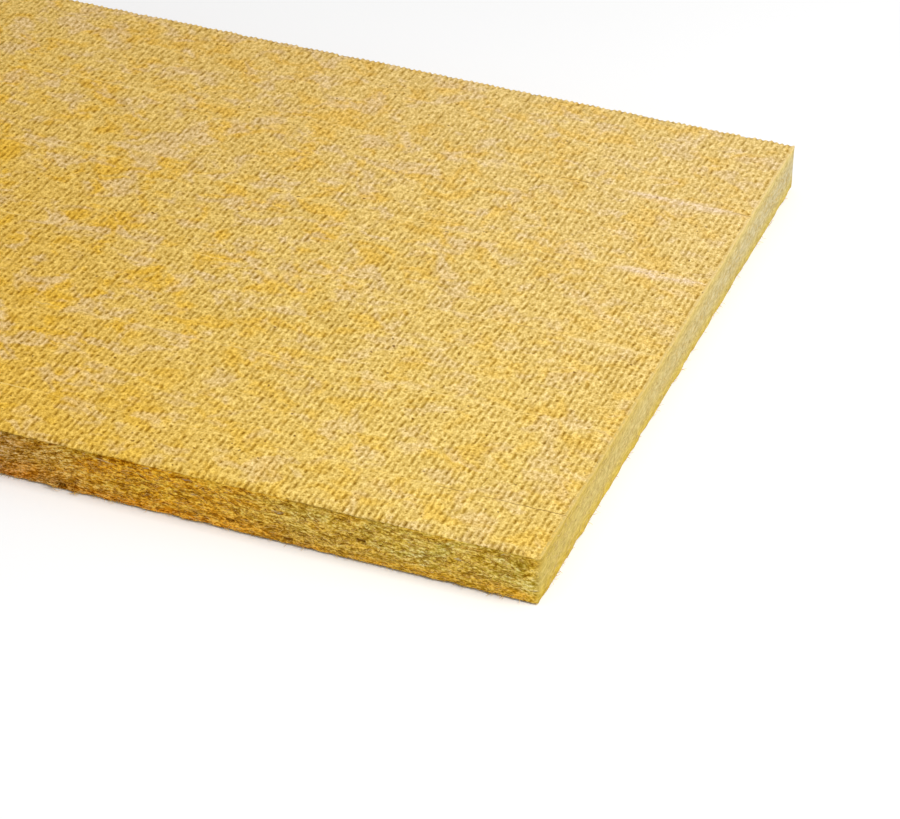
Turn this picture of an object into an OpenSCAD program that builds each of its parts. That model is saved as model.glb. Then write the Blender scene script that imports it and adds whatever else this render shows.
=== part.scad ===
// Rigid mineral wool insulation slab: one felted and cured block, pressed between two slatted belts
// and sawn to size. It lies flat: X runs along its length, Y across its width and Z is up.
// The origin is the centre of the underside.

/* [Slab] */
// Length of the slab, along X
slab_length = 1000; // [600:10:2000]
// Width of the slab, along Y
slab_width = 600; // [400:10:1200]
// Thickness of the slab
slab_thickness = 40; // [20:5:200]

/* [Sawn edges] */
// Radius that handling has worn on the arrises round both faces
arris_radius = 2; // [0.5:0.25:6]
// Radius of the four upright corners
corner_radius = 3; // [0.5:0.25:12]

/* [Belt joints] */
// Width of one slat of the press belt, which is the spacing of the joint lines
slat_width = 107; // [60:1:300]
// Distance from the front long side to the first joint line of the upper face
top_first_joint = 54; // [20:1:60]
// Distance from the front long side to the first joint line of the lower face
bottom_first_joint = 31; // [20:1:60]
// Width of the crease that a joint between two slats leaves
joint_width = 2.4; // [1.8:0.1:4]
// Depth of that crease
joint_depth = 0.8; // [0.3:0.1:0.9]

/* [Hidden] */
// A joint line closer than this to the back long side doesn't show
joint_margin = 20;
// How far a cutter runs past the block
overrun = 5;
// Radius of the round crease that has joint_width at the face and is joint_depth deep
joint_radius = (joint_width * joint_width / 4 + joint_depth * joint_depth) / (2 * joint_depth);
$fn = 64;

// Y of every joint line of a face whose first line is at first_joint from the front long side
function joint_lines(first_joint) =
    [for (y = [first_joint : slat_width : slab_width - joint_margin]) y - slab_width / 2];

// A rectangle about its centre with round corners
module rounded_rectangle(across, up, radius) {
    square([across - 2 * radius, up], center = true);
    square([across, up - 2 * radius], center = true);
    for (x = [-1, 1], y = [-1, 1])
        translate([x * (across / 2 - radius), y * (up / 2 - radius)])
            circle(radius);
}

// The sawn block: its plan, its cross section and its long section, each with worn corners
module sawn_block() {
    intersection() {
        linear_extrude(slab_thickness)
            rounded_rectangle(slab_length, slab_width, corner_radius);
        translate([-slab_length / 2, 0, slab_thickness / 2])
            rotate([90, 0, 90])
                linear_extrude(slab_length)
                    rounded_rectangle(slab_width, slab_thickness, arris_radius);
        translate([0, slab_width / 2, slab_thickness / 2])
            rotate([90, 0, 0])
                linear_extrude(slab_width)
                    rounded_rectangle(slab_length, slab_thickness, arris_radius);
    }
}

// The creases that the belt's slat joints leave along one face, cut joint_depth below face_z.
// side is 1 for the upper face and -1 for the lower one.
module belt_joints(first_joint, face_z, side) {
    for (y = joint_lines(first_joint))
        translate([0, y, face_z + side * (joint_radius - joint_depth)])
            rotate([0, 90, 0])
                cylinder(h = slab_length + 2 * overrun, r = joint_radius, center = true);
}

module slab() {
    color([0.86, 0.70, 0.33])
        difference() {
            sawn_block();
            belt_joints(top_first_joint, slab_thickness, 1);
            belt_joints(bottom_first_joint, 0, -1);
        }
}

slab();
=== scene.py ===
"""A rigid mineral wool slab, dressed for the studio: pressed faces, sawn sides and loose fibre."""
import math
import random

import bmesh
import bpy
import numpy as np
from mathutils import Matrix, Vector, noise
from mathutils.bvhtree import BVHTree


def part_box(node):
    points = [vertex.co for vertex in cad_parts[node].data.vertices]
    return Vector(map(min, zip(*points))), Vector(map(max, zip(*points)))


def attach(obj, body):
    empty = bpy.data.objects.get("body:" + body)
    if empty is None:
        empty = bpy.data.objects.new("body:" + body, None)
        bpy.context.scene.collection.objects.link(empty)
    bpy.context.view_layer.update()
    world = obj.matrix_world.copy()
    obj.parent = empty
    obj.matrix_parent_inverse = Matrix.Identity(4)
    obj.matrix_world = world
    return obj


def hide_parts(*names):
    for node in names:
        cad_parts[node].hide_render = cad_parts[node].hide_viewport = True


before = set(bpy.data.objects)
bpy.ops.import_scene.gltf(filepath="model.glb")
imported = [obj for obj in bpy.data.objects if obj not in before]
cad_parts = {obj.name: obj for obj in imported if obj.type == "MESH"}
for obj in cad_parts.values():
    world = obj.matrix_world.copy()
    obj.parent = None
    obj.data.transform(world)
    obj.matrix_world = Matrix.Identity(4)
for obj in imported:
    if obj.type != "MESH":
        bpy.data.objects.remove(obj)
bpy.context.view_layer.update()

# Slab
# A felt of stone fibre and resin, cured while two slatted steel belts press it and then sawn to size.
# The belts' slots leave ribs and staggered grooves on both faces, and the joints of their slats thin creases.
low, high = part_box("slab")
arris_radius = 0.0012
corner_share = 0.7
column_pitch = 0.0046
slat_width = 0.107
slat_margin = 0.0014
slots_per_slat = 6
slot_period = (slat_width - 2 * slat_margin) / slots_per_slat
slot_stagger = slot_period / 3
upper_first_joint = 0.054
lower_first_joint = 0.031
joint_margin = 0.02
seam_reach = 0.009
smear_shares = (0.15, 0.2, 0.3, 0.8, 0.75, 0.2)
smear_runs = (0.06, 0.11)
smear_spread = 0.01
faint_smear_share = 0.35
faint_smear_halves = (0.02, 0.05)
faint_smears_end = 0.3
smear_fill_share = 0.5
crease_depth = 0.0008
crease_mean_share = 0.5
crease_change_share = 0.9
crease_cycles = (9, 40)
crease_imprint_share = 0.15
groove_depth = 0.0009
groove_shares = (0.85, 1.1)
bridge_share = 0.7
bridge_fade_share = 0.2
bridge_fade_run = 0.35
rib_wear = 0.0003
rib_sway = 0.0004
least_gap = 0.0012
tiny = 1e-5
upper_seed, lower_seed = 10, 40
side_layers = 8

face_left, face_right = low.x + arris_radius, high.x - arris_radius
face_front, face_back = low.y + arris_radius, high.y - arris_radius
columns = round((face_right - face_left) / column_pitch)
slats = math.ceil((high.y - low.y) / slat_width)


def belt_lines(first_joint):
    """Y of the lines across a face where a slot or a crease starts or ends, from front to back."""
    lines = []
    for slat in range(-1, slats + 1):
        joint = low.y + first_joint + slat * slat_width
        lines += [joint - slat_margin, joint + slat_margin]
        if low.y + joint_margin <= joint <= high.y - joint_margin:
            lines.append(joint)
        for row in range(slots_per_slat):
            start = joint + slat_margin + row * slot_period
            lines += [start, start + slot_stagger] if row else [start + slot_stagger]
    inside = sorted(y for y in lines if face_front + least_gap < y < face_back - least_gap)
    return [face_front, *inside, face_back]


def join_marked(bm, mark):
    """Makes one face of neighbours that carry the same mark."""
    pairs = [(e, [f[mark] for f in e.link_faces]) for e in bm.edges]
    inner = [e for e, marks in pairs if len(marks) == 2 and marks[0] and marks[0] == marks[1]]
    bmesh.ops.dissolve_edges(bm, edges=inner, use_verts=False)


def pressed_face(first_joint, lines, seed):
    """One face as the belt left it, at Z 0 and facing up: ribs along Y with grooves between them. A groove is
    deepest where a slot of the belt started, a third of a period further back in every second column."""
    bm = bmesh.new()
    draw = random.Random(seed)
    imprint = bm.verts.layers.float.new("imprint")
    crease = bm.verts.layers.float.new("crease")
    seam = bm.verts.layers.float.new("seam")
    rows = len(lines) - 1
    bmesh.ops.create_grid(bm, x_segments=2 * columns, y_segments=rows, size=0.5)
    joints = [low.y + first_joint + slat * slat_width for slat in range(slats)]
    # Each joint has a pale smear at the right end of the slab and a faint one somewhere along it.
    smears = []
    for share in smear_shares:
        run = draw.uniform(*smear_runs)
        at_end = (face_right - run / 2, run / 2 + smear_spread, share)
        faint_centre = draw.uniform(face_left, faint_smears_end)
        faint_half = draw.uniform(*faint_smear_halves)
        smears.append([at_end, (faint_centre, faint_half, faint_smear_share)])
    for vert in bm.verts:
        line, row = round((vert.co.x + 0.5) * 2 * columns), round((vert.co.y + 0.5) * rows)
        vert.co.x = face_left + line / (2 * columns) * (face_right - face_left)
        vert.co.y = lines[row]
        along = vert.co.y - low.y - first_joint
        nearest = min(range(slats), key=lambda k: abs(vert.co.y - joints[k]))
        from_joint = abs(vert.co.y - joints[nearest])
        smear = max(share * (1 - ((vert.co.x - centre) / half) ** 2)
                    for centre, half, share in smears[nearest])
        reach = seam_reach if vert.co.y < joints[nearest] else seam_reach / 3
        vert[seam] = max(0, smear) * max(0, 1 - from_joint / reach)
        if line % 2:
            into = along % slat_width - slat_margin - slot_stagger * (line // 2 % 2)
            past_start = 0 if vert.is_boundary else (into / slot_period + tiny) % 1
            bridge = bridge_share - bridge_fade_share * min(1, max(0, vert.co.x / bridge_fade_run))
            depth_share = (1 - bridge * min(1, 2 * past_start)) * (1 - smear_fill_share * vert[seam])
            vert[imprint] = draw.uniform(*groove_shares) * depth_share
            vert.co.z = -groove_depth * vert[imprint]
        else:
            vert.co.z = -rib_wear * draw.random()
        if from_joint < slat_margin / 2:
            vert[crease] = 1.0
            vert[imprint] *= crease_imprint_share
            change = noise.noise(Vector((vert.co.x * crease_cycles[0], vert.co.y * crease_cycles[1], seed)))
            depth = crease_depth * (crease_mean_share + crease_change_share * change)
            vert.co.z = min(vert.co.z, -max(0, depth))
        if not vert.is_boundary:
            vert.co.x += draw.uniform(-rib_sway, rib_sway)
    return bm


upper_lines, lower_lines = belt_lines(upper_first_joint), belt_lines(lower_first_joint)
while len(upper_lines) != len(lower_lines):
    shorter = min(upper_lines, lower_lines, key=len)
    widest = max(range(1, len(shorter)), key=lambda k: shorter[k] - shorter[k - 1])
    shorter.insert(widest, (shorter[widest - 1] + shorter[widest]) / 2)

# The lower face is made facing up, front to back, and then turned over about X.
turned_joint = (high.y - low.y - lower_first_joint) % slat_width
turned_lines = [-y for y in reversed(lower_lines)]
slab_mesh = bpy.data.meshes.new("wool_slab")
slab_bm = pressed_face(turned_joint, turned_lines, lower_seed)
bmesh.ops.rotate(slab_bm, cent=(0, 0, 0), matrix=Matrix.Rotation(math.pi, 3, "X"), verts=slab_bm.verts)
bmesh.ops.translate(slab_bm, vec=(0, 0, low.z), verts=slab_bm.verts)
slab_bm.to_mesh(slab_mesh)
slab_bm.free()
slab_bm = pressed_face(upper_first_joint, upper_lines, upper_seed)
bmesh.ops.translate(slab_bm, vec=(0, 0, high.z), verts=slab_bm.verts)
slab_bm.from_mesh(slab_mesh)

imprint = slab_bm.verts.layers.float["imprint"]
sawn = slab_bm.verts.layers.float.new("sawn")
cross_cut = slab_bm.verts.layers.float.new("cross_cut")
gash = slab_bm.verts.layers.float.new("gash")
gash_mark = slab_bm.faces.layers.int.new("gash_mark")
middle = (low.z + high.z) / 2


def outward(place):
    """The way out of the slab from a place on its rim or sides, in plan."""
    x = math.copysign(1, place.x) if abs(place.x) > face_right - tiny else 0
    y = math.copysign(1, place.y) if abs(place.y) > face_back - tiny else 0
    return Vector((x, y, 0)) * (corner_share if x and y else 1)


turns = [math.radians(45), math.radians(90)]
upper_arris = [(arris_radius * math.sin(a), high.z - arris_radius * (1 - math.cos(a))) for a in turns]
wall_top, wall_height = high.z - arris_radius, high.z - low.z - 2 * arris_radius
wall = [(arris_radius, wall_top - wall_height * k / side_layers) for k in range(1, side_layers + 1)]
lower_arris = [(upper_arris[0][0], low.z + high.z - upper_arris[0][1])]
upper_rim = [e for e in slab_bm.edges if e.is_boundary and e.verts[0].co.z > middle]
lower_rim = [e for e in slab_bm.edges if e.is_boundary and e.verts[0].co.z < middle]
for vert in {v for e in upper_rim + lower_rim for v in e.verts}:
    vert[cross_cut] = abs(outward(vert.co).x)
wall_edges, reach = upper_rim, 0.0
for out, z in upper_arris + wall + lower_arris:
    made = bmesh.ops.extrude_edge_only(slab_bm, edges=wall_edges)["geom"]
    wall_edges = [g for g in made if isinstance(g, bmesh.types.BMEdge)]
    for vert in (g for g in made if isinstance(g, bmesh.types.BMVert)):
        way = outward(vert.co)
        vert[sawn] = float(low.z + arris_radius - tiny < z < wall_top - tiny)
        vert[cross_cut] = abs(way.x)
        vert.co += way * (out - reach)
        vert.co.z = z
    reach = out
# The grooves run out over the upper arris of the long sides and notch it.
for vert in slab_bm.verts:
    way = outward(vert.co)
    if way.length and wall_top - tiny < vert.co.z < high.z - arris_radius / 4:
        vert.co -= (way + Vector((0, 0, 1))) * groove_depth * vert[imprint]
# An extrusion leaves its parts in an order that changes from run to run, so they are put in order again.
slant = Vector((1.0, 0.31, 0.07))
slab_bm.edges.sort(key=lambda e: slant.dot(e.verts[0].co + e.verts[1].co))
bmesh.ops.bridge_loops(slab_bm, edges=[e for e in slab_bm.edges if e.is_boundary])
bmesh.ops.recalc_face_normals(slab_bm, faces=slab_bm.faces)

# Gashes, where the saw tore a flake of felt out of a side: many on the long sides, few on the ends.
# Each draws by its own place, whatever the order of the faces.
gash_seed = 77
gash_run = 0.0092
gash_stagger_share = 0.37
gash_lip = 0.0016
gash_depth_range = (0.001, 0.0026)
side_gash_share, end_gash_share = 0.018, 0.004
upright_limit, end_limit = 0.1, 0.7
torn_runs, gash_depths = {}, {}
for face in slab_bm.faces:
    centre, way = face.calc_center_median(), face.normal
    level = (wall_top - centre.z) / wall_height * side_layers
    face[gash_mark] = 0
    if abs(way.z) < upright_limit and 0 < level < side_layers:
        on_end = abs(way.x) > end_limit
        along = centre.y if on_end else centre.x
        run = math.floor(along / gash_run + gash_stagger_share * int(level))
        key = (round(way.x), round(way.y), int(level), run)
        tear = random.Random(str((gash_seed, *key)))
        if tear.random() < (end_gash_share if on_end else side_gash_share):
            face[gash_mark] = torn_runs.setdefault(key, len(torn_runs) + 1)
            gash_depths[face[gash_mark]] = tear.uniform(*gash_depth_range)
join_marked(slab_bm, gash_mark)
gashes = [f for f in slab_bm.faces if f[gash_mark]]
bmesh.ops.inset_individual(slab_bm, faces=gashes, thickness=gash_lip, use_even_offset=True)
for face in gashes:
    for vert in face.verts:
        way = outward(vert.co)
        vert.co -= way * gash_depths[face[gash_mark]]
        vert[sawn], vert[gash], vert[cross_cut] = 1.0, 1.0, abs(way.x)

# Wear: lumps on the sides, a slight swell of the faces, frayed lower edges and chipped upper ones.
# A noise is given as its cycles a metre along X, Y and Z, and a seed.
lump_noise, fine_lump_noise = ((60, 60, 260), 3.0), ((190, 190, 420), 7.0)
lump_depth, saw_loss, end_slack_share = 0.0006, 0.0003, 0.35
swell_noise, dimple_noise = ((8, 8, 8), 1.0), ((170, 80, 8), 2.0)
swell_height, dimple_height, press_loss = 0.0004, 0.00035, 0.0003
rib_noise, rib_wander = ((150, 60, 8), 11.0), 0.0003
row_noise, row_wander = ((180, 60, 8), 13.0), 0.0009
fray_noise, fray_height, fray_reach = ((70, 70, 20), 5.0), 0.008, 0.0016
chip_noise, chip_depth, end_chip_share = ((110, 110, 20), 21.0), 0.002, 0.8


def felt_noise(place, frequency, seed):
    """Noise from -1 to 1 at a place, with a frequency for each axis in cycles a metre."""
    scaled = Vector([at * cycles for at, cycles in zip(place, frequency)])
    return noise.noise(scaled + Vector((0, 0, seed)))


for vert in slab_bm.verts:
    place = vert.co.copy()
    if vert[sawn]:
        lumps = 0.5 * felt_noise(place, *lump_noise) + 0.5 * felt_noise(place, *fine_lump_noise)
        slack = end_slack_share if vert[cross_cut] else 1.0
        vert.co += outward(place) * slack * (lump_depth * lumps - saw_loss)
    else:
        up = math.copysign(1, place.z - middle)
        swell = swell_height * felt_noise(place, *swell_noise)
        swell += dimple_height * felt_noise(place, *dimple_noise)
        vert.co.z += up * (swell - press_loss)
        vert.co.x += rib_wander * felt_noise(place, *rib_noise)
        vert.co.y += row_wander * felt_noise(place, *row_noise)
    frayed = max(0, 1 - (place.z - low.z) / fray_height) * felt_noise(place, *fray_noise)
    chipped = max(0, felt_noise(place, *chip_noise)) if place.z > wall_top + tiny else 0
    chip = chip_depth * chipped * (end_chip_share if vert[cross_cut] else 1.0)
    vert.co += outward(place) * (fray_reach * frayed - chip)
    vert.co.z -= chip if outward(place).length else 0

# A flat map for the finish: both faces above each other, then the long sides and, side by side, the ends.
finish_map = slab_bm.loops.layers.uv.new("OFBake")
size = high - low
whole_width, left_half, right_half = (0.005, 0.995), (0.005, 0.495), (0.505, 0.995)
upper_face_band, lower_face_band = (0.005, 0.445), (0.455, 0.895)
front_band, back_band, end_band = (0.905, 0.934), (0.94, 0.969), (0.975, 0.995)


def map_window(face):
    """The axes that run across this face's side of the slab, and the part of the map that holds the side."""
    if face.material_index == 0:
        return (0, 1), whole_width, upper_face_band if face.normal.z > 0 else lower_face_band
    if abs(face.normal.x) > abs(face.normal.y):
        return (1, 2), right_half if face.normal.x > 0 else left_half, end_band
    return (0, 2), whole_width, front_band if face.normal.y < 0 else back_band


for face in slab_bm.faces:
    face.smooth = True
    face.material_index = 1 if any(v[sawn] for v in face.verts) else 0
    axes, *window = map_window(face)
    for corner in face.loops:
        shares = [(corner.vert.co[axis] - low[axis]) / size[axis] for axis in axes]
        spot = [start + (end - start) * share for (start, end), share in zip(window, shares)]
        corner[finish_map].uv = spot
slab_bm.verts.sort(key=lambda v: slant.dot(v.co))
slab_bm.faces.sort(key=lambda f: slant.dot(f.calc_center_median()))
slab_bm.to_mesh(slab_mesh)
slab_bm.free()
slab = bpy.data.objects.new("wool_slab", slab_mesh)
bpy.context.scene.collection.objects.link(slab)


def from_srgb(red, green, blue):
    """A shader colour from the 0 to 255 values of a colour chart."""
    shares = [c / 255 for c in (red, green, blue)]
    return (*[c / 12.92 if c < 0.04 else ((c + 0.055) / 1.055) ** 2.4 for c in shares], 1.0)


def add_node(material, kind, inputs=(), **settings):
    """Adds a shader node. inputs is a dict of values or links by socket name or number."""
    made = material.node_tree.nodes.new("ShaderNode" + kind)
    for name, value in settings.items():
        setattr(made, name, value)
    for name, value in dict(inputs).items():
        if isinstance(value, bpy.types.NodeSocket):
            material.node_tree.links.new(value, made.inputs[name])
        else:
            made.inputs[name].default_value = value
    return made


def own_place(material):
    """The piece's own coordinates, in metres."""
    return add_node(material, "TexCoord").outputs["Object"]


def own_axis(material, axis):
    """One of the piece's own coordinates."""
    return add_node(material, "SeparateXYZ", {0: own_place(material)}).outputs[axis]


def wool_noise(material, scale, detail=3.0, roughness=0.55, distortion=0.0, offset=(0, 0, 0), place=None):
    """Noise over the piece's own coordinates. scale is in cycles a metre along X, Y and Z."""
    inputs = {"Vector": place or own_place(material), "Scale": scale, "Location": offset}
    mapped = add_node(material, "Mapping", inputs).outputs["Vector"]
    inputs = {"Vector": mapped, "Scale": 1.0, "Detail": detail, "Roughness": roughness}
    inputs["Distortion"] = distortion
    return add_node(material, "TexNoise", inputs).outputs["Fac"]


def span(material, value, start, end, low_out=0.0, high_out=1.0):
    """Takes value from start..end to low_out..high_out, with soft ends."""
    inputs = {"Value": value, "From Min": start, "From Max": end, "To Min": low_out, "To Max": high_out}
    return add_node(material, "MapRange", inputs, interpolation_type="SMOOTHSTEP").outputs["Result"]


def mixed(material, share, first, second, mode="MIX"):
    """One colour over another, by a share from 0 to 1."""
    mix = add_node(material, "Mix", {0: share, 6: first, 7: second}, data_type="RGBA", blend_type=mode)
    return mix.outputs[2]


def maths(material, operation, first, second=0.0):
    """What one math operation makes of a value or link, or of two."""
    return add_node(material, "Math", {0: first, 1: second}, operation=operation).outputs[0]


def product(material, first, second):
    """One value or link times another."""
    return maths(material, "MULTIPLY", first, second)


def attribute(material, name):
    """A value that the mesh holds at its vertices."""
    return add_node(material, "Attribute", attribute_name=name).outputs["Fac"]


def new_material(name, roughness):
    """A dull material, and its shader."""
    material = bpy.data.materials.new(name)
    material.use_nodes = True
    shader = material.node_tree.nodes["Principled BSDF"]
    shader.inputs["Roughness"].default_value = roughness
    shader.inputs["Specular IOR Level"].default_value = 0.02
    return material, shader


no_tint = (1.0, 1.0, 1.0)


def tinted(material, share, first, second, colour):
    """Multiplies a colour by one tint where share is 0 and by another where it is 1."""
    tint = mixed(material, share, (*first, 1.0), (*second, 1.0))
    return mixed(material, 1.0, colour, tint, "MULTIPLY")


def ramp(material, value, colours):
    """Takes a value from 0 to 1 through evenly spaced colours."""
    made = add_node(material, "ValToRGB", {"Fac": value})
    stops = made.color_ramp.elements
    while len(stops) < len(colours):
        stops.new(0.5)
    for k, colour in enumerate(colours):
        stops[k].position = k / (len(colours) - 1)
        stops[k].color = colour
    return made.outputs["Color"]


def pressed_wool():
    """The faces: straw-coloured felt, faded or rich in resin in patches, with grooves browned by resin and by
    painted shade, and specks.
    """
    material, shader = new_material("pressed_wool", 0.95)
    link = material.node_tree.links.new
    straw, faded, rich = from_srgb(238, 204, 114), from_srgb(234, 205, 157), from_srgb(240, 190, 52)
    x, y = own_axis(material, "X"), own_axis(material, "Y")
    # Felt, richer in resin at the near left and paler at the far right, in patches
    resin = wool_noise(material, (36, 44, 36), 2.5, 0.62, 0.5, (3, 1, 0))
    near_left = maths(material, "ADD", maths(material, "MAXIMUM", x, -0.1), y)
    colour = mixed(material, span(material, near_left, 0.15, -0.38, 0.0, 0.75), straw, rich)
    patchiness = span(material, maths(material, "SUBTRACT", x, y), 0.15, 0.5, 1.0, 0.6)
    resin = product(material, span(material, resin, 0.47, 0.65, 0.0, 0.7), patchiness)
    colour = mixed(material, resin, colour, rich)
    bleach = wool_noise(material, (38, 48, 38), 2.5, 0.62, 0.5, (7, 5, 0))
    bleach = product(material, span(material, bleach, 0.49, 0.65, 0.0, 0.65), patchiness)
    colour = mixed(material, bleach, colour, faded)
    far_right = maths(material, "ADD", product(material, x, 0.6), y)
    colour = mixed(material, span(material, far_right, -0.05, 0.5, 0.0, 0.3), colour, faded)
    # Pale smears beside the joints of the slats
    patchy = wool_noise(material, (45, 150, 45), 2.0, 0.6, 0.3, (4, 8, 0))
    patchy = span(material, patchy, 0.32, 0.55, 0.3, 0.8)
    seam = product(material, span(material, attribute(material, "seam"), 0.08, 0.6), patchy)
    colour = mixed(material, seam, colour, from_srgb(238, 210, 174))
    # Painted shade and light: the felt is darker toward the left end and lighter toward the right, where the
    # light falls from
    colour = tinted(material, span(material, x, -0.05, 0.4), (0.945, 0.925, 0.89), (1.02, 1.05, 1.10), colour)
    # Grain: knots of fibre, and a finer tooth
    knots = wool_noise(material, (400, 245, 400), 1.0, 0.5, 0.0, (5, 3, 1))
    lumps = span(material, knots, 0.3, 0.7)
    colour = tinted(material, lumps, (0.84, 0.795, 0.67), (1.13, 1.155, 1.27), colour)
    tooth = span(material, wool_noise(material, (900, 700, 900), 1.0, 0.5), 0.3, 0.7)
    colour = tinted(material, tooth, (0.84, 0.80, 0.69), (1.12, 1.145, 1.25), colour)
    # Grooves browned by resin and by painted shade, with darker spots of painted shadow and resin where they
    # are deepest
    imprint = attribute(material, "imprint")
    ragged = span(material, wool_noise(material, (170, 380, 170), 0.0), 0.34, 0.62, 0.2, 1.0)
    groove_resin_and_shade = product(material, span(material, imprint, 0.0, 0.8), ragged)
    groove_resin_and_shade = product(material, groove_resin_and_shade, span(material, y, -0.1, 0.3, 1.0, 0.8))
    groove_resin_and_shade = product(material, groove_resin_and_shade, span(material, x, 0.0, 0.35, 1.0, 0.95))
    colour = mixed(material, groove_resin_and_shade, colour, (0.52, 0.43, 0.195, 1.0), "MULTIPLY")
    # Painted shadow and resin: darkest where the grooves are deepest
    pit_shadow_and_resin = product(material, span(material, imprint, 0.82, 1.04), ragged)
    colour = mixed(material, pit_shadow_and_resin, colour, (0.50, 0.41, 0.22, 1.0), "MULTIPLY")
    # The sliced arris of the ends, the joint lines, pale and in places with a painted shadow along the
    # crease, and dark specks
    sliced = product(material, span(material, knots, 0.3, 0.6, 0.3, 0.9),
                     span(material, attribute(material, "cross_cut"), 0.6, 1.0))
    khaki = mixed(material, span(material, y, -0.3, 0.3), from_srgb(198, 172, 100), from_srgb(222, 197, 138))
    colour = mixed(material, sliced, colour, khaki)
    line = span(material, attribute(material, "crease"), 0.4, 0.9)
    bare = span(material, wool_noise(material, (18, 30, 3), 2.0, 0.5, 0.0, (4, 2, 0)), 0.42, 0.58, 0.1, 0.6)
    colour = mixed(material, product(material, line, bare), colour, from_srgb(242, 212, 138))
    worn = span(material, wool_noise(material, (12, 3, 3), 2.0, 0.5, 0.0, (1, 0, 0)), 0.52, 0.60)
    shadow = product(material, product(material, line, worn), span(material, x, 0.2, 0.4, 0.25, 0.85))
    colour = mixed(material, shadow, colour, from_srgb(136, 98, 38))
    speck = span(material, wool_noise(material, (230, 230, 230), 1.0, 0.5, 0.0, (2, 9, 4)), 0.73, 0.78)
    colour = mixed(material, product(material, speck, 0.85), colour, from_srgb(110, 70, 26))
    link(colour, shader.inputs["Base Color"])
    fuzz = wool_noise(material, (900, 600, 900), 4.0, 0.7)
    height = maths(material, "SUBTRACT", maths(material, "ADD", fuzz, knots), groove_resin_and_shade)
    bump = add_node(material, "Bump", {"Height": height, "Strength": 0.5, "Distance": 0.0008})
    link(bump.outputs["Normal"], shader.inputs["Normal"])
    return material


def thin_lines(material, value, width):
    """Lines along the middle level of a noise."""
    from_middle = maths(material, "ABSOLUTE", maths(material, "SUBTRACT", value, 0.5))
    return span(material, from_middle, 0.0, width, 1.0, 0.0)


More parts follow.
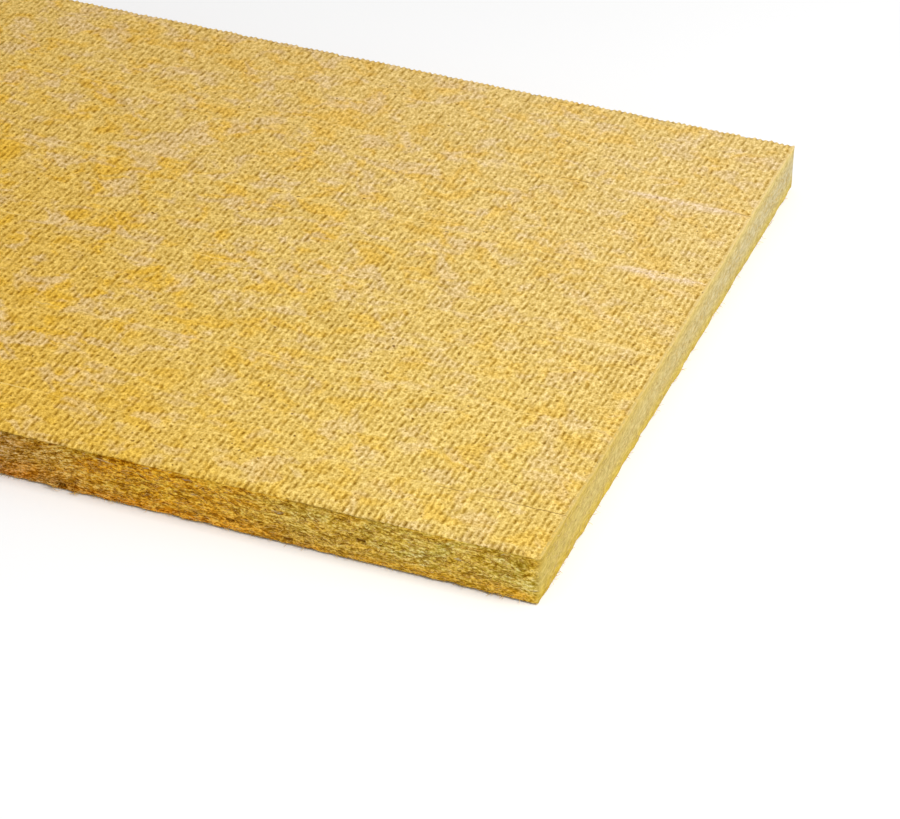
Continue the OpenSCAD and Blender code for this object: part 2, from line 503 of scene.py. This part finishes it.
def sawn_wool():
    """The sides: felt in thin wavy layers, brown to olive and orange low down, with paler, smoother ends."""
    material, shader = new_material("sawn_wool", 0.97)
    link = material.node_tree.links.new
    x, y, rise = (own_axis(material, axis) for axis in "XYZ")
    resin_top, khaki_foot = low.z + 0.45 * size.z, low.z + 0.55 * size.z
    stain_foot, stain_top = high.z - 0.010, high.z - 0.002
    rim_foot, rim_top = high.z - 0.0042, high.z - 0.0026
    # Layers of felt that wave along the side, from brown to gold and olive
    wave = product(material, wool_noise(material, (7, 7, 20), 2.0), 0.03)
    dip = product(material, maths(material, "MINIMUM", x, 0.15), -0.2)
    shift = add_node(material, "CombineXYZ", {"Z": maths(material, "ADD", wave, dip)}).outputs[0]
    waved = add_node(material, "VectorMath", {0: own_place(material), 1: shift}, operation="ADD").outputs[0]
    layers = wool_noise(material, (135, 135, 420), 2.0, 0.65, 0.4, (0, 0, 0), waved)
    strands = wool_noise(material, (250, 250, 800), 2.0, 0.65, 0.4, (1, 1, 3), waved)
    tone = span(material, maths(material, "ADD", product(material, layers, 1.2), strands), 0.8, 1.4)
    brown = ramp(material, tone, [from_srgb(99, 53, 1), from_srgb(182, 124, 47), from_srgb(234, 190, 158)])
    gold = ramp(material, tone, [from_srgb(148, 91, 2), from_srgb(234, 173, 40), from_srgb(255, 216, 92)])
    olive = ramp(material, tone, [from_srgb(168, 134, 26), from_srgb(230, 202, 94), from_srgb(247, 226, 144)])
    from_brown = maths(material, "ABSOLUTE", maths(material, "ADD", x, 0.1))
    colour = mixed(material, span(material, from_brown, 0.1, 0.32), brown, gold)
    colour = mixed(material, span(material, x, 0.2, 0.42), colour, olive)
    # Grain, and a drift of hue
    dots = wool_noise(material, (420, 420, 600), 1.0, 0.5, 0.0, (8, 8, 2))
    colour = tinted(material, span(material, dots, 0.34, 0.6), (0.66, 0.58, 0.36), (1.10, 1.13, 1.25), colour)
    hue = span(material, wool_noise(material, (22, 22, 75), 2.0, 0.6, 0.6, (2, 4, 6), waved), 0.36, 0.64)
    colour = tinted(material, hue, (0.96, 1.02, 1.12), (1.06, 0.95, 0.66), colour)
    # Dark lines of painted shade in the gaps between the layers, and bare pale strands whose pale is partly
    # painted highlight
    crack_shade = wool_noise(material, (160, 160, 400), 3.0, 0.6, 0.8, (5, 2, 8), waved)
    crack_shade = thin_lines(material, crack_shade, 0.03)
    opened = wool_noise(material, (110, 110, 260), 2.0, 0.5, 0.0, (9, 1, 1))
    opened = span(material, opened, 0.48, 0.6, 0.0, 0.8)
    colour = mixed(material, product(material, crack_shade, opened), colour, from_srgb(110, 62, 6))
    bare = wool_noise(material, (170, 170, 420), 3.0, 0.6, 0.8, (1, 7, 3), waved)
    bare = thin_lines(material, bare, 0.025)
    lit = wool_noise(material, (110, 110, 240), 2.0, 0.5, 0.0, (3, 1, 7))
    lit = span(material, lit, 0.5, 0.62, 0.0, 0.75)
    colour = mixed(material, product(material, bare, lit), colour, from_srgb(246, 208, 120))
    # Resin low down, a stain high up and, under the rim, a dark line in patches that is painted shadow
    resin = span(material, rise, resin_top, low.z)
    colour = tinted(material, resin, no_tint, (1.01, 0.90, 1.0), colour)
    resin = product(material, resin, span(material, x, 0.1, 0.4))
    colour = tinted(material, resin, no_tint, (1.02, 0.90, 0.36), colour)
    upper = span(material, rise, stain_foot, stain_top)
    colour = tinted(material, upper, no_tint, (0.84, 0.89, 0.78), colour)
    upper = product(material, upper, span(material, x, 0.1, 0.42))
    colour = tinted(material, upper, no_tint, (1.10, 0.90, 0.68), colour)
    # Painted shadow under the upper arris, in patches along the side
    under_rim = span(material, rise, rim_foot, rim_top)
    rim_shadow_patches = span(material, wool_noise(material, (25, 25, 25), 2.0), 0.45, 0.6, 0.0, 0.65)
    rim_shadow_patches = product(material, rim_shadow_patches, span(material, layers, 0.42, 0.54))
    colour = mixed(material, product(material, under_rim, rim_shadow_patches), colour, from_srgb(110, 76, 20))
    # Grey flecks, and painted shade in the gashes
    fleck = span(material, wool_noise(material, (55, 55, 260), 3.0, 0.6, 0.4, (5, 2, 8), waved), 0.66, 0.74)
    colour = mixed(material, product(material, fleck, 0.55), colour, from_srgb(180, 176, 160))
    gash_shade = span(material, attribute(material, "gash"), 0.5, 1.0, 0.0, 0.75)
    colour = mixed(material, gash_shade, colour, from_srgb(100, 56, 8))
    # The sliced ends: yellow low down, then grey and khaki, with a short nap
    yellow, grey = from_srgb(209, 182, 87), from_srgb(205, 186, 140)
    khaki = mixed(material, span(material, y, -0.3, 0.3), from_srgb(199, 174, 112), from_srgb(218, 191, 118))
    sliced = mixed(material, span(material, rise, low.z, resin_top), yellow, grey)
    sliced = mixed(material, span(material, rise, khaki_foot, high.z), sliced, khaki)
    sliced = tinted(material, span(material, y, -0.3, 0.3), (1.0, 0.96, 0.57), (0.97, 1.02, 1.06), sliced)
    sliced = tinted(material, span(material, y, -0.3, -0.18), (0.93, 0.91, 0.76), no_tint, sliced)
    nap = wool_noise(material, (420, 110, 380), 3.0, 0.75, 0.0, (0, 0, 4))
    sliced = tinted(material, span(material, nap, 0.3, 0.7), (0.80, 0.77, 0.66), (1.18, 1.2, 1.32), sliced)
    colour = mixed(material, attribute(material, "cross_cut"), colour, sliced)
    link(colour, shader.inputs["Base Color"])
    bump = add_node(material, "Bump", {"Height": layers, "Strength": 0.8, "Distance": 0.0015})
    link(bump.outputs["Normal"], shader.inputs["Normal"])
    return material


slab_mesh.materials.append(pressed_wool())
slab_mesh.materials.append(sawn_wool())
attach(slab, "root")
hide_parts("slab")

# Sawn fibres
# Strands of the felt that the saw pulled half free. They lie on the four sides, mostly along the layers,
# with their ends still held in the wool: coarse and many on the long sides, fine and short on the ends.
strand_sides = 3
palette_step = 0.004
off_axis = (0.31, 0.47, 0.83)
fibre_points = np.array((-0.5, -0.18, 0.18, 0.5))
fibre_taper_shares = np.array((0.5, 1.0, 1.0, 0.4))
fibre_margin = 0.012
lowest_fibre, highest_fibre = low.z + 0.002, high.z - 0.004
lowest_point, highest_point = low.z + 0.0008, high.z - 0.003
fibre_bow = 0.0008
fibre_lift = 0.0004
held_depth = 0.0002
free_share = 0.1
free_lifts = (0.0006, 0.002)
dip_tilt, dip_end = 0.2, 0.15
hue_start, hue_run = 0.05, 0.35
felt_bm = bmesh.new()
felt_bm.from_mesh(slab_mesh)
felt_surface = BVHTree.FromBMesh(felt_bm)
felt_bm.free()


def seated(places, lifts):
    """Places near the slab, moved onto its surface and then out from it by lifts."""
    moved = []
    for place, lift in zip(places.reshape(-1, 3), lifts.ravel()):
        foot, way, _, _ = felt_surface.find_nearest(Vector(place))
        moved.append(foot + way * lift)
    return np.array(moved).reshape(places.shape)


def strand_mesh(name, paths, widths, tones):
    """One mesh of many strands, each a closed three-sided rod along its own points. tones holds each strand's
    place on the palette, across for dark to pale and up for orange to grey, which its map repeats."""
    count, points = widths.shape
    along = np.gradient(paths, axis=1)
    along /= np.linalg.norm(along, axis=2, keepdims=True)
    side = np.cross(along, off_axis)
    side /= np.linalg.norm(side, axis=2, keepdims=True)
    other = np.cross(along, side)
    turn = np.arange(strand_sides) * math.tau / strand_sides
    ring = np.cos(turn)[:, None] * side[:, :, None] + np.sin(turn)[:, None] * other[:, :, None]
    places = paths[:, :, None] + widths[:, :, None, None] / 2 * ring
    first = np.arange(count)[:, None] * points * strand_sides
    start = (first + np.arange(points - 1) * strand_sides)[:, :, None]
    here, after = np.arange(strand_sides), (np.arange(strand_sides) + 1) % strand_sides
    further = start + strand_sides
    walls = np.stack([start + here, start + after, further + after, further + here], 3)
    roots = first + here[::-1]
    tips = first + (points - 1) * strand_sides + here
    mesh = bpy.data.meshes.new(name)
    faces = walls.reshape(-1, 4).tolist() + roots.tolist() + tips.tolist()
    mesh.from_pydata(places.reshape(-1, 3).tolist(), [], faces)
    palette = np.empty((count, points, strand_sides, 2))
    palette[..., 0] = tones[:, None, None, 0] + palette_step * here
    palette[..., 1] = tones[:, None, None, 1] + palette_step * np.arange(points)[:, None]
    corners = np.empty(len(mesh.loops), dtype=int)
    mesh.loops.foreach_get("vertex_index", corners)
    mesh.uv_layers.new(name="OFBake").uv.foreach_set("vector", palette.reshape(-1, 2)[corners].ravel())
    mesh.shade_smooth()
    return mesh


def loose_fibre():
    """Bare strands: dark brown to pale straw, and khaki at the top of the palette, which the ends use."""
    material, shader = new_material("loose_fibre", 0.9)
    uv = add_node(material, "UVMap", uv_map="OFBake").outputs["UV"]
    spot = add_node(material, "SeparateXYZ", {0: uv}).outputs
    colours = [from_srgb(118, 68, 4), from_srgb(206, 157, 54), from_srgb(250, 214, 132)]
    colour = ramp(material, spot["X"], colours)
    greyness = span(material, spot["Y"], 0.1, 0.8)
    colour = tinted(material, greyness, (1.0, 0.88, 0.80), (1.05, 1.10, 1.10), colour)
    on_end = span(material, spot["Y"], 0.93, 0.95, 0.0, 0.8)
    colour = mixed(material, on_end, colour, from_srgb(214, 194, 132))
    material.node_tree.links.new(colour, shader.inputs["Base Color"])
    return material


def side_fibres(draw, count, axis, plane, lengths, widths, shades, hues, drift, slope):
    """Paths, widths and tones of fibres on the side where the other plan axis has the value plane."""
    length = draw.uniform(*lengths, count)
    centre = draw.uniform(low[axis] + fibre_margin, high[axis] - fibre_margin, count)
    tilt = draw.normal(0, slope, count) + dip_tilt * (centre < dip_end)
    rise = draw.uniform(lowest_fibre, highest_fibre, count)
    bow = draw.normal(0, fibre_bow, (count, len(fibre_points)))
    places = np.empty((count, len(fibre_points), 3))
    places[..., axis] = centre[:, None] + (length * np.cos(tilt))[:, None] * fibre_points
    places[..., 1 - axis] = plane
    places[..., 2] = rise[:, None] + (length * np.sin(tilt))[:, None] * fibre_points + bow
    places[..., 2] = places[..., 2].clip(lowest_point, highest_point)
    lifts = draw.uniform(0.0, fibre_lift, places.shape[:2])
    lifts[:, 0] = lifts[:, -1] = -held_depth
    free = draw.random(count) < free_share
    lifts[free, -1] = draw.uniform(*free_lifts, free.sum())
    thick = draw.uniform(*widths, count)[:, None] * fibre_taper_shares
    along = ((centre - hue_start) / hue_run).clip(0, 1)
    tones = np.stack([draw.uniform(*shades, count), draw.uniform(*hues, count) + drift * along], 1)
    return seated(places, lifts), thick, tones


fibre_seed = 5
long_side_count, end_count = 3000, 1000
fibre_draw = np.random.default_rng(fibre_seed)
coarse = {"lengths": (0.0025, 0.008), "widths": (0.0003, 0.0006), "shades": (0.1, 0.93),
          "hues": (0.1, 0.3), "drift": 0.55, "slope": 0.22}
fine = {"lengths": (0.003, 0.011), "widths": (0.0002, 0.0004), "shades": (0.5, 0.97),
        "hues": (0.955, 0.97), "drift": 0.0, "slope": 0.5}
fibre_batches = [side_fibres(fibre_draw, long_side_count, 0, plane, **coarse) for plane in (low.y, high.y)]
fibre_batches += [side_fibres(fibre_draw, end_count, 1, plane, **fine) for plane in (low.x, high.x)]
fibre_mesh = strand_mesh("sawn_fibres", *[np.concatenate(parts) for parts in zip(*fibre_batches)])
fibre_mesh.materials.append(loose_fibre())
fibres = bpy.data.objects.new("sawn_fibres", fibre_mesh)
bpy.context.scene.collection.objects.link(fibres)
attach(fibres, "root")

# Edge tufts
# Curled tufts and a thin fringe of fibre that the saw left on the lower edges when it came through.
# Each strand is rooted in the lower arris and lies just above what the slab stands on.
curl_points = np.linspace(0, 1, 5)
curl_taper_shares = np.array((1.0, 1.0, 0.9, 0.7, 0.3))
clear_of_floor = 0.0005
heading_spread = 0.7
climb_spread = 0.35
tuft_shades, tuft_hues = (0.45, 0.97), (0.3, 0.9)
edge_margin = 0.01
root_rises = (0.0006, 0.003)
root_depth = 0.0003


def curled(draw, roots, ways, lengths, widths, swings):
    """Paths, widths and tones of strands that run out from roots along ways and curl, near the floor."""
    count = len(roots)
    length = draw.uniform(*lengths, count)[:, None]
    swing = draw.uniform(*swings, count)[:, None] * draw.choice((-1, 1), count)[:, None]
    heading = draw.normal(0, heading_spread, count)[:, None] + np.arctan2(ways[:, 1], ways[:, 0])[:, None]
    bend = swing * curl_points
    radius = length / swing
    ahead, across = radius * np.sin(bend), radius * (1 - np.cos(bend))
    paths = np.empty((count, len(curl_points), 3))
    paths[..., 0] = roots[:, None, 0] + ahead * np.cos(heading) - across * np.sin(heading)
    paths[..., 1] = roots[:, None, 1] + ahead * np.sin(heading) + across * np.cos(heading)
    climb = draw.normal(0, climb_spread, count)[:, None]
    paths[..., 2] = np.maximum(roots[:, None, 2] + climb * length * curl_points, low.z + clear_of_floor)
    thick = draw.uniform(*widths, count)[:, None] * curl_taper_shares
    tones = np.stack([draw.uniform(*tuft_shades, count), draw.uniform(*tuft_hues, count)], 1)
    return paths, thick, tones


def edge_roots(draw, count, end_share):
    """Places on the lower arris, a share of them on the ends, and the way out from each."""
    places, ways = [], []
    for _ in range(count):
        on_end = draw.random() < end_share
        axis = 1 if on_end else 0
        sign = draw.choice((-1, 1))
        place = np.empty(3)
        place[axis] = draw.uniform(low[axis] + edge_margin, high[axis] - edge_margin)
        place[1 - axis] = sign * high[1 - axis]
        place[2] = low.z + draw.uniform(*root_rises)
        way = np.zeros(3)
        way[1 - axis] = sign
        places.append(place)
        ways.append(way)
    return seated(np.array(places), np.full(count, -root_depth)), np.array(ways)


tuft_seed = 8
fringe_count, fringe_end_share = 1500, 0.1
fringe_sizes = {"lengths": (0.0015, 0.005), "widths": (0.0002, 0.0004), "swings": (0.3, 2.0)}
tuft_count, strands_a_tuft, tuft_spread = 22, 14, 0.0006
tuft_sizes = {"lengths": (0.004, 0.010), "widths": (0.0003, 0.0005), "swings": (1.5, 4.5)}
tuft_draw = np.random.default_rng(tuft_seed)
fringe = curled(tuft_draw, *edge_roots(tuft_draw, fringe_count, fringe_end_share), **fringe_sizes)
tuft_roots, tuft_ways = [np.repeat(at, strands_a_tuft, axis=0) for at in edge_roots(tuft_draw, tuft_count, 0)]
tuft_roots[:, :2] += tuft_draw.normal(0, tuft_spread, (len(tuft_roots), 2))
tufts = curled(tuft_draw, tuft_roots, tuft_ways, **tuft_sizes)
tuft_mesh = strand_mesh("edge_tufts", *[np.concatenate(parts) for parts in zip(fringe, tufts)])
tuft_mesh.materials.append(fibre_mesh.materials[0])
edge_tufts = bpy.data.objects.new("edge_tufts", tuft_mesh)
bpy.context.scene.collection.objects.link(edge_tufts)
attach(edge_tufts, "root")

# Floor
# A plain pale studio floor under the slab, wide enough for every view.
floor_size = 30.0
floor_gap = 0.0008
floor_white = (0.96, 0.96, 0.96, 1.0)
floor_mesh = bpy.data.meshes.new("studio_floor")
floor_bm = bmesh.new()
bmesh.ops.create_grid(floor_bm, x_segments=1, y_segments=1, size=floor_size / 2)
bmesh.ops.translate(floor_bm, vec=(0, 0, low.z - floor_gap), verts=floor_bm.verts)
floor_bm.to_mesh(floor_mesh)
floor_bm.free()
floor = bpy.data.objects.new("studio_floor", floor_mesh)
bpy.context.scene.collection.objects.link(floor)
floor_material, floor_shader = new_material("pale_floor", 0.9)
floor_shader.inputs["Base Color"].default_value = floor_white
floor_mesh.materials.append(floor_material)

# Studio light
# One large soft box high on the right, and an even white surround.
surround_white, surround_strength = (1.0, 1.0, 1.0, 1.0), 0.5
box_place, box_aim = (2.0, -0.4, 2.5), (0.1, 0.0, 0.0)
box_width, box_power = 1.6, 72.0
scene = bpy.context.scene
scene.view_settings.view_transform = "Standard"
world = bpy.data.worlds.new("studio")
world.use_nodes = True
world.node_tree.nodes["Background"].inputs["Color"].default_value = surround_white
world.node_tree.nodes["Background"].inputs["Strength"].default_value = surround_strength
scene.world = world
light = bpy.data.lights.new("key_box", "AREA")
light.shape = "SQUARE"
light.size = box_width
light.energy = box_power
key_box = bpy.data.objects.new("key_box", light)
key_box.location = box_place
key_box.rotation_euler = (Vector(box_aim) - Vector(box_place)).to_track_quat("-Z", "Y").to_euler()
scene.collection.objects.link(key_box)

# Camera
# It looks down on the near right corner of the slab from the right, through a long lens.
azimuth, elevation, roll = math.radians(20.432), math.radians(34.357), math.radians(1.051)
corner = Vector((high.x, low.y, high.z))
corner_right, corner_up, corner_away = -0.061473, 0.101211, 2.581902
lens_length, sensor_width = 152.0, 36.0
back = Matrix.Rotation(azimuth, 3, "Z") @ Matrix.Rotation(-elevation, 3, "X") @ Vector((0, -1, 0))
level = Vector((0, 0, 1)).cross(back).normalized()
upright = back.cross(level)
right = math.cos(roll) * level + math.sin(roll) * upright
up = math.cos(roll) * upright - math.sin(roll) * level
camera_data = bpy.data.cameras.new("photo_camera")
camera_data.lens = lens_length
camera_data.sensor_width = sensor_width
camera = bpy.data.objects.new("photo_camera", camera_data)
camera_place = corner + right * corner_right + up * corner_up + back * corner_away
camera_turn = Matrix((right, up, back)).transposed().to_4x4()
camera.matrix_world = Matrix.Translation(camera_place) @ camera_turn
scene.collection.objects.link(camera)
scene.camera = camera
